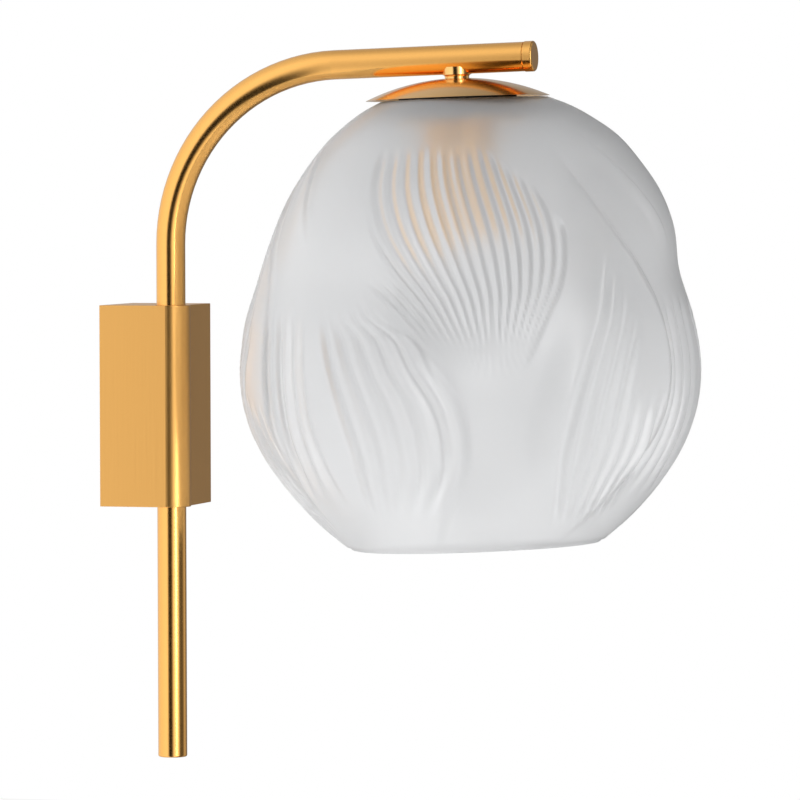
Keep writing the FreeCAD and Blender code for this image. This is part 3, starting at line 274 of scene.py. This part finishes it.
def one_ribs(angle, share):
    """Depth of all the grooves of one period: the fan's, then those of the three folds.

    A start is the share of the height at which a groove begins. The fan's first grooves begin well down the
    glass, its middle ones near the top and its last ones a little lower. The left family's begin a little
    higher towards the valley, and the right family's lower and lower away from it.
    """
    fan, phase = grooves(angle, share, FAN_LEFT, FAN_RIGHT, FAN_SPACES, FAN_SHARP)
    start = (0.10 + 0.28 * (1 - ramp(phase, 2.6, 3.9)) + 0.06 * ramp(phase, 12.0, 15.5)
             + 0.10 * ramp(phase, 15.5, 17.0))
    depth = FAN_DEPTH * fan * ramp(share, start, start + 0.05) * (1 - ramp(share, *FAN_END))

    left, phase = grooves(angle, share, LEFT_FIRST, LEFT_LAST, LEFT_SPACES, LEFT_SHARP, SHORT_FADE)
    start = 0.44 - 0.03 * ramp(phase, 1.0, 5.0)
    depth = depth + LEFT_DEPTH * left * ramp(share, start, start + 0.10) * (1 - ramp(share, *LEFT_END))

    right, phase = grooves(angle, share, RIGHT_FIRST, RIGHT_LAST, RIGHT_SPACES, RIGHT_SHARP)
    start = 0.33 + 0.05 * np.clip(phase, 0.0, 3.0) + 0.16 * ramp(phase, 2.8, 4.2)
    depth = depth + RIGHT_DEPTH * right * ramp(share, start, start + 0.09) * (1 - ramp(share, *RIGHT_END))

    far, _ = grooves(angle, share, FAR_FIRST, FAR_LAST, FAR_SPACES, FAR_SHARP)
    return depth + FAR_DEPTH * far * ramp(share, *FAR_START) * (1 - ramp(share, *FAR_END))


def glass_radius(angle, share, ribbed):
    """Outside radius of the glass. The folds add nothing on the petals' crests and midway between them, and
    the ribs are grooves cut into it."""
    mean = MOUTH + (smooth_through(share, GLASS_ROWS, 1) - MOUTH_SHARE) / (1 - MOUTH_SHARE) * (BELLY - MOUTH)
    swell = PETAL_SWELL * smooth_through(share, GLASS_ROWS, 2)
    wave = np.cos(np.radians(LOBES * (angle + PERIOD / 4)))
    crest = over_periods(one_fold, np.full_like(share, -PERIOD / 4), share)
    between = over_periods(one_fold, np.full_like(share, PERIOD / 4), share)
    taken = (crest + between) / 2 + (crest - between) / 2 * wave
    radius = mean + swell * wave + over_periods(one_fold, angle, share) - taken
    if ribbed:
        radius = radius + over_periods(one_shoulder, angle, share) - over_periods(one_ribs, angle, share)
    return radius


def glass_grid():
    """One closed loop of rows carried round the axis: flat top, outside, rounded lip, inside, ceiling, hole.

    Returns the radius and the depth of every point, each as rows by columns.
    """
    angle = np.arange(COLUMNS) * 360.0 / COLUMNS
    lip_depth = GLASS_HEIGHT - LIP_HEIGHT

    share = np.linspace(0.0, 1.0, OUTER_ROWS)[:, None]
    wide = np.broadcast_to(angle[None, :], (OUTER_ROWS, COLUMNS))
    tall = np.broadcast_to(share, (OUTER_ROWS, COLUMNS))
    outside = glass_radius(wide, tall, True)
    outside_depth = np.minimum(tall * GLASS_HEIGHT, lip_depth)

    flat = np.linspace(0.0, 1.0, FLAT_ROWS + 1)[:-1, None]
    flat_radius = GLASS_HOLE + (outside[:1] - GLASS_HOLE) * flat
    flat_depth = np.zeros_like(flat_radius)

    highest = (GLASS_COLLAR + GLASS_WALL) / GLASS_HEIGHT
    inner_share = np.linspace(1.0, highest, INNER_ROWS)[:, None]
    wide = np.broadcast_to(angle[None, :], (INNER_ROWS, COLUMNS))
    tall = np.broadcast_to(inner_share, (INNER_ROWS, COLUMNS))
    smooth = glass_radius(wide, tall, False)
    slope = np.gradient(smooth[:, 0], inner_share[:, 0] * GLASS_HEIGHT)[:, None]
    inset = GLASS_WALL * np.sqrt(1.0 + np.minimum(np.abs(slope), STEEPEST) ** 2)
    inset = GLASS_WALL + (inset - GLASS_WALL) * ramp(1.0 - tall, 0.0, LIP_SHARE)
    inside = smooth - inset
    inside_depth = np.minimum(tall * GLASS_HEIGHT, lip_depth)

    lip_turn = np.radians(np.array(LIP_TURNS))[:, None]
    lip_middle = (outside[-1:] + inside[:1]) / 2
    lip_half = (outside[-1:] - inside[:1]) / 2
    round_radius = lip_middle + lip_half * np.cos(lip_turn)
    round_depth = GLASS_HEIGHT + LIP_HEIGHT * np.sin(lip_turn) - LIP_HEIGHT + np.zeros_like(round_radius)

    ceiling = np.linspace(0.0, 1.0, CEILING_ROWS + 1)[1:, None]
    ceiling_radius = inside[-1:] + (GLASS_HOLE - inside[-1:]) * ceiling
    ceiling_depth = GLASS_COLLAR + (inside_depth[-1:] - GLASS_COLLAR) * (1 - ceiling) ** 3
    hole_radius = np.full((1, COLUMNS), GLASS_HOLE)
    hole_depth = np.full((1, COLUMNS), GLASS_COLLAR / 2)

    radius = np.vstack([flat_radius, outside, round_radius, inside, ceiling_radius, hole_radius])
    depth = np.vstack([flat_depth, outside_depth, round_depth, inside_depth, ceiling_depth, hole_depth])
    return angle, radius, depth


def closed_grid_faces(rows, columns):
    """Quads of a grid that closes both ways, wound so that the outside faces out."""
    row, column = np.meshgrid(np.arange(rows), np.arange(columns), indexing="ij")
    below = (row + 1) % rows
    beside = (column + 1) % columns
    corners = [row * columns + column, below * columns + column,
               below * columns + beside, row * columns + beside]
    return np.stack([corner.ravel() for corner in corners], axis=1)


def mesh_piece(name, points, faces, finish):
    """A smooth-shaded mesh object from whole arrays of points and quads."""
    mesh = bpy.data.meshes.new(name)
    mesh.vertices.add(len(points))
    mesh.vertices.foreach_set("co", np.asarray(points, np.float32).ravel())
    mesh.loops.add(faces.size)
    mesh.loops.foreach_set("vertex_index", faces.ravel().astype(np.int32))
    mesh.polygons.add(len(faces))
    mesh.polygons.foreach_set("loop_start", np.arange(len(faces), dtype=np.int32) * faces.shape[1])
    mesh.polygons.foreach_set("use_smooth", np.ones(len(faces), bool))
    mesh.update(calc_edges=True)
    mesh.validate()
    mesh.materials.append(finish)
    piece = bpy.data.objects.new(name, mesh)
    bpy.context.scene.collection.objects.link(piece)
    return piece


def socket_mount():
    """Point and direction of the lamp socket's axis, which is the axis of the glass too."""
    mount = next(item for item in frame["record"]["mounts"] if item["name"] == "lamp_socket")
    return np.array(mount["pos_m"], float), np.array(mount["axis"], float)


def moulded_glass(frosted, clear):
    """The shade: its closed grid turned round the tilted axis of the lampholder. The rows past the lip, as
    far as the wall of the hole, have the plain finish of its inside."""
    angle, radius, depth = glass_grid()
    socket, down = socket_mount()
    down = down / np.linalg.norm(down)
    up = -down
    across = np.array([1.0, 0.0, 0.0])
    along = np.cross(up, across)
    top = socket + up * GLASS_TOP_ABOVE_SOCKET * MM
    turn = np.radians(angle + VIEW_AZIMUTH)[None, :]
    points = (top + (radius * np.cos(turn))[..., None] * across * MM
              + (radius * np.sin(turn))[..., None] * along * MM + depth[..., None] * down * MM)
    faces = closed_grid_faces(*radius.shape)
    piece = mesh_piece("shade", points.reshape(-1, 3), faces, frosted)
    piece.data.materials.append(clear)
    rows, columns = radius.shape
    row = np.arange(len(faces)) // columns
    within = (row >= rows - INNER_ROWS - CEILING_ROWS - 1) & (row < rows - 1)
    piece.data.polygons.foreach_set("material_index", within.astype(np.int32))
    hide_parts("glass_shade")
    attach(piece, "arm_unit")


# ---------------------------------------------------------------- finishes

class Wire:
    """A shader socket with arithmetic: an expression on wires adds its Math nodes."""

    def __init__(self, finish, socket):
        self.finish = finish
        self.socket = socket

    def join(self, operation, first, second):
        """One Math node on two numbers or wires."""
        return self.finish.node("ShaderNodeMath", {0: first, 1: second}, operation=operation).out()

    def __add__(self, other):
        return self.join("ADD", self, other)

    def __radd__(self, other):
        return self.join("ADD", other, self)

    def __sub__(self, other):
        return self.join("SUBTRACT", self, other)

    def __rsub__(self, other):
        return self.join("SUBTRACT", other, self)

    def __mul__(self, other):
        return self.join("MULTIPLY", self, other)

    def __rmul__(self, other):
        return self.join("MULTIPLY", other, self)


class Made:
    """A node that has been made, whose outputs are wires."""

    def __init__(self, finish, item):
        self.finish = finish
        self.item = item

    def out(self, name=0):
        """One of the outputs, by its name or its number."""
        return Wire(self.finish, self.item.outputs[name])


class Finish:
    """A node tree under construction, of a material or of the world."""

    def __init__(self, tree):
        self.tree = tree
        self.tree.nodes.clear()

    def node(self, kind, inputs=None, stops=None, **settings):
        """Makes a node: its settings and a colour ramp's stops first, then each input's value or wire."""
        item = self.tree.nodes.new(kind)
        for name, setting in settings.items():
            setattr(item, name, setting)
        if stops:
            fill_ramp(item.color_ramp, stops)
        for name, given in (inputs or {}).items():
            if isinstance(given, Wire):
                self.tree.links.new(given.socket, item.inputs[name])
            else:
                item.inputs[name].default_value = given
        return Made(self, item)


def fill_ramp(color_ramp, stops):
    """Sets a colour ramp's stops: position and grey level of each."""
    while len(color_ramp.elements) < len(stops):
        color_ramp.elements.new(1.0)
    for element, (position, level) in zip(color_ramp.elements, stops):
        element.position = position
        element.color = (level, level, level, 1.0)


def new_finish(name):
    """A material with an empty node tree, and that tree to build on."""
    material = bpy.data.materials.new(name)
    material.use_nodes = True
    return material, Finish(material.node_tree)


def object_place(finish, stretch=(1.0, 1.0, 1.0)):
    """Object coordinates, stretched along each axis."""
    place = finish.node("ShaderNodeTexCoord").out("Object")
    return finish.node("ShaderNodeMapping", {"Vector": place, "Scale": stretch}).out()


def noise(finish, place, scale, detail, roughness):
    """A noise value at a place, between 0 and 1 and mostly near 0.5."""
    inputs = {"Vector": place, "Scale": scale, "Detail": detail, "Roughness": roughness}
    return finish.node("ShaderNodeTexNoise", inputs).out()


def blend_colours(finish, amount, first, second):
    """Mix of two colours, each given as three numbers."""
    inputs = {"Factor": amount, MIX_FIRST: (*first, 1.0), MIX_SECOND: (*second, 1.0)}
    return finish.node("ShaderNodeMix", inputs, data_type="RGBA").out(MIX_RESULT)


def bump(finish, height, strength, distance):
    """The normal of a surface with small bumps."""
    inputs = {"Height": height, "Strength": strength, "Distance": distance}
    return finish.node("ShaderNodeBump", inputs).out()


def surface(finish, inputs):
    """Ends a material with one principled shader."""
    shader = finish.node("ShaderNodeBsdfPrincipled", inputs).out()
    finish.node("ShaderNodeOutputMaterial", {"Surface": shader})


def brushed_brass(name, stretch, light, dark, rough, rough_spread, scratch):
    """Satin brass with fine streaks along one way, faint clouds and a scratch-deep bump."""
    material, finish = new_finish(name)
    streaks = noise(finish, object_place(finish, stretch), scale=1.0, detail=3.0, roughness=0.65)
    clouds = noise(finish, object_place(finish), scale=22.0, detail=2.0, roughness=0.5)
    colour = blend_colours(finish, streaks * 0.6 + clouds * 0.4, dark, light)
    inputs = {
        "Base Color": colour,
        "Metallic": 1.0,
        "Roughness": rough + rough_spread * (streaks - 0.5) + 0.5 * rough_spread * (clouds - 0.5),
        "Normal": bump(finish, streaks, scratch, SCRATCH_DEPTH),
    }
    surface(finish, inputs)
    return material


def polished_brass():
    """Lacquered, polished brass with very faint clouds."""
    material, finish = new_finish("polished brass")
    clouds = noise(finish, object_place(finish), scale=45.0, detail=3.0, roughness=0.6)
    colour = blend_colours(finish, clouds, (0.86, 0.50, 0.17), (0.92, 0.56, 0.21))
    surface(finish, {"Base Color": colour, "Metallic": 1.0, "Roughness": 0.13 + 0.08 * clouds})
    return material


def plain_finish(name, colour, other, metallic, rough, grain):
    """A cast, rolled or moulded surface: two close shades in fine grain, with the grain as a bump."""
    material, finish = new_finish(name)
    specks = noise(finish, object_place(finish), scale=grain, detail=3.0, roughness=0.6)
    inputs = {
        "Base Color": blend_colours(finish, specks, colour, other),
        "Metallic": metallic,
        "Roughness": rough + 0.12 * (specks - 0.5),
        "Normal": bump(finish, specks, 0.3, GRAIN_DEPTH),
    }
    surface(finish, inputs)
    return material


def clear_glass():
    """The plain inside of the glass."""
    material, finish = new_finish("clear glass")
    clouds = noise(finish, object_place(finish), scale=14.0, detail=2.0, roughness=0.5)
    surface(finish, {
        "Base Color": (0.97, 0.975, 0.98, 1.0),
        "Roughness": 0.12 + 0.06 * clouds,
        "IOR": GLASS_IOR,
        "Transmission Weight": 1.0,
    })
    return material


def frosted_glass():
    """Acid-frosted glass: light goes through it blurred, and some is scattered by its etched skin."""
    material, finish = new_finish("frosted glass")
    grain = noise(finish, object_place(finish), scale=700.0, detail=2.0, roughness=0.6)
    clouds = noise(finish, object_place(finish), scale=14.0, detail=2.0, roughness=0.5)
    surface(finish, {
        "Base Color": blend_colours(finish, clouds, (0.955, 0.957, 0.96), (0.975, 0.977, 0.98)),
        "Roughness": 0.32 + 0.05 * (grain - 0.5) + 0.03 * (clouds - 0.5),
        "IOR": GLASS_IOR,
        "Transmission Weight": 0.64,
    })
    return material


def dress(finishes):
    """Gives every node of the frame its finish."""
    for node, material in finishes.items():
        item = frame["nodes"][node]
        item.data.materials.clear()
        item.data.materials.append(material)


# ---------------------------------------------------------------- studio

def area_light(name, place, size, power, mirrored):
    """A soft rectangular light, aimed at the lamp. Glass doesn't show it, and metal only where asked."""
    lamp = bpy.data.lights.new(name, "AREA")
    lamp.shape = "RECTANGLE"
    lamp.size, lamp.size_y = size
    lamp.energy = power
    item = bpy.data.objects.new(name, lamp)
    item.location = place
    way = Vector(LIGHTS_AIM) - Vector(place)
    item.rotation_euler = way.to_track_quat("-Z", "Y").to_euler()
    item.visible_transmission = False
    item.visible_glossy = mirrored
    bpy.context.scene.collection.objects.link(item)


def studio_glow(finish):
    """Brightness of the studio as the brass mirrors it: soft panels round the lamp, a dimmer ceiling."""
    way = finish.node("ShaderNodeTexCoord").out("Generated")
    parts = finish.node("ShaderNodeSeparateXYZ", {"Vector": way})
    turn = parts.out("Y").join("ARCTAN2", parts.out("Y"), parts.out("X")) * (0.5 / math.pi)
    turn = turn.join("FRACT", turn, 0.0)
    panels = finish.node("ShaderNodeValToRGB", {"Fac": turn}, PANELS).out("Color")
    height = parts.out("Z") * 0.5 + 0.5
    ceiling = finish.node("ShaderNodeValToRGB", {"Fac": height}, CEILING).out("Color")
    return panels * ceiling


def studio():
    """White behind the lamp and through the glass, panels for the brass to mirror, and the lights."""
    world = bpy.data.worlds.new("studio")
    bpy.context.scene.world = world
    world.use_nodes = True
    finish = Finish(world.node_tree)
    path = finish.node("ShaderNodeLightPath")
    glossy = path.out("Is Glossy Ray")
    seen = path.out("Is Camera Ray") + glossy + path.out("Is Transmission Ray")
    seen = finish.node("ShaderNodeClamp", {"Value": seen}).out()
    glow = studio_glow(finish)
    soft = finish.node("ShaderNodeBackground", {"Color": SOFT_COLOUR, "Strength": SOFT_STRENGTH}).out()
    level = 1.0 - glossy + glossy * glow
    white = finish.node("ShaderNodeBackground", {"Color": WHITE, "Strength": level}).out()
    mixed = finish.node("ShaderNodeMixShader", {0: seen, 1: soft, 2: white}).out()
    finish.node("ShaderNodeOutputWorld", {"Surface": mixed})
    for light in LIGHTS:
        area_light(*light)


def floor():
    """Pale floor under the lamp. The camera sees it as nearly white, and the brass doesn't mirror it."""
    material, finish = new_finish("floor")
    path = finish.node("ShaderNodeLightPath")
    seen = (path.out("Is Camera Ray") + path.out("Is Transmission Ray")) * FLOOR_WHITE
    paint = finish.node("ShaderNodeBsdfDiffuse", {"Color": (0.92, 0.92, 0.92, 1.0)}).out()
    glow = finish.node("ShaderNodeEmission", {"Color": WHITE, "Strength": 1.0}).out()
    mixed = finish.node("ShaderNodeMixShader", {0: seen, 1: paint, 2: glow}).out()
    finish.node("ShaderNodeOutputMaterial", {"Surface": mixed})
    level = CAD_BOX[0][2] - FLOOR_DROP
    corners = [(-1, -1), (1, -1), (1, 1), (-1, 1)]
    points = [(across * FLOOR_HALF, along * FLOOR_HALF, level) for across, along in corners]
    piece = mesh_piece("floor", np.array(points), np.array([[0, 1, 2, 3]]), material)
    piece.visible_glossy = False


def camera():
    """The photograph's view: a long lens, turned about the aim point and rolled a little."""
    azimuth = math.radians(VIEW_AZIMUTH)
    elevation = math.radians(VIEW_ELEVATION)
    roll = math.radians(VIEW_ROLL)
    out = Vector((math.cos(elevation) * math.cos(azimuth), math.cos(elevation) * math.sin(azimuth),
                  math.sin(elevation)))
    level = (-out).cross(Vector((0.0, 0.0, 1.0))).normalized()
    high = level.cross(-out)
    right = math.cos(roll) * level + math.sin(roll) * high
    up = math.cos(roll) * high - math.sin(roll) * level
    focal = VIEW_LENS / VIEW_SENSOR * PICTURE
    across = (AIM_PIXEL[0] - PICTURE / 2) / focal * VIEW_DISTANCE
    down = (AIM_PIXEL[1] - PICTURE / 2) / focal * VIEW_DISTANCE
    place = Vector(AIM_POINT) + VIEW_DISTANCE * out - across * right + down * up
    lens = bpy.data.cameras.new("view")
    lens.lens = VIEW_LENS
    lens.sensor_width = VIEW_SENSOR
    lens.clip_end = VIEW_REACH
    item = bpy.data.objects.new("view", lens)
    turn = Matrix((right, up, out)).transposed()
    item.matrix_world = Matrix.Translation(place) @ turn.to_4x4()
    bpy.context.scene.collection.objects.link(item)
    bpy.context.scene.camera = item


def build():
    """Finishes on every node, by its slot or by its name, then the glass, the studio and the camera."""
    # Brushed brass: stretch of its streaks, two shades, roughness and its spread, strength of the scratches.
    upright = brushed_brass("satin brass, upright", (900.0, 900.0, 18.0), (0.95, 0.515, 0.150),
                            (0.88, 0.465, 0.130), 0.30, 0.06, 0.10)
    tube = brushed_brass("satin brass, tube", (260.0, 260.0, 260.0), (0.95, 0.510, 0.145),
                         (0.88, 0.460, 0.125), 0.20, 0.05, 0.03)
    polished = polished_brass()
    # The others: two shades, share of metal, roughness, and how fine the grain is.
    steel = plain_finish("zinc steel", (0.60, 0.61, 0.63), (0.72, 0.73, 0.75), 1.0, 0.38, 240.0)
    shell = plain_finish("rolled brass", (0.94, 0.50, 0.09), (0.98, 0.56, 0.13), 1.0, 0.34, 160.0)
    holder = plain_finish("lampholder brass", (0.98, 0.49, 0.06), (1.00, 0.56, 0.10), 0.80, 0.42, 160.0)
    rubber = plain_finish("black rubber", (0.02, 0.02, 0.02), (0.04, 0.04, 0.04), 0.0, 0.70, 500.0)
    nylon = plain_finish("white nylon", (0.80, 0.80, 0.76), (0.86, 0.86, 0.83), 0.0, 0.45, 300.0)
    sheath = plain_finish("lead sheath", (0.72, 0.72, 0.70), (0.78, 0.78, 0.77), 0.0, 0.50, 200.0)
    porcelain = plain_finish("porcelain", (0.86, 0.85, 0.81), (0.90, 0.89, 0.86), 0.0, 0.22, 60.0)
    # The glass of the frame is replaced, so the finish given to its slot doesn't show.
    by_slot = {
        "satin_brass": tube, "polished_brass": polished, "shell_brass": shell, "zinc_steel": steel,
        "black_rubber": rubber, "white_nylon": nylon, "lead_sheath": sheath, "white_porcelain": porcelain,
        "frosted_glass": steel,
    }
    slots = {item["node"]: item["material_slot"] for item in frame["record"]["subparts"]}
    finishes = {node: by_slot[slots[node]] for node in frame["nodes"]}
    finishes["wall_box"] = upright
    finishes["holder_cup"] = holder
    finishes["clamp_plate"] = holder
    dress(finishes)
    moulded_glass(frosted_glass(), clear_glass())
    studio()
    floor()
    camera()
    bpy.context.scene.view_settings.view_transform = "Standard"


build()
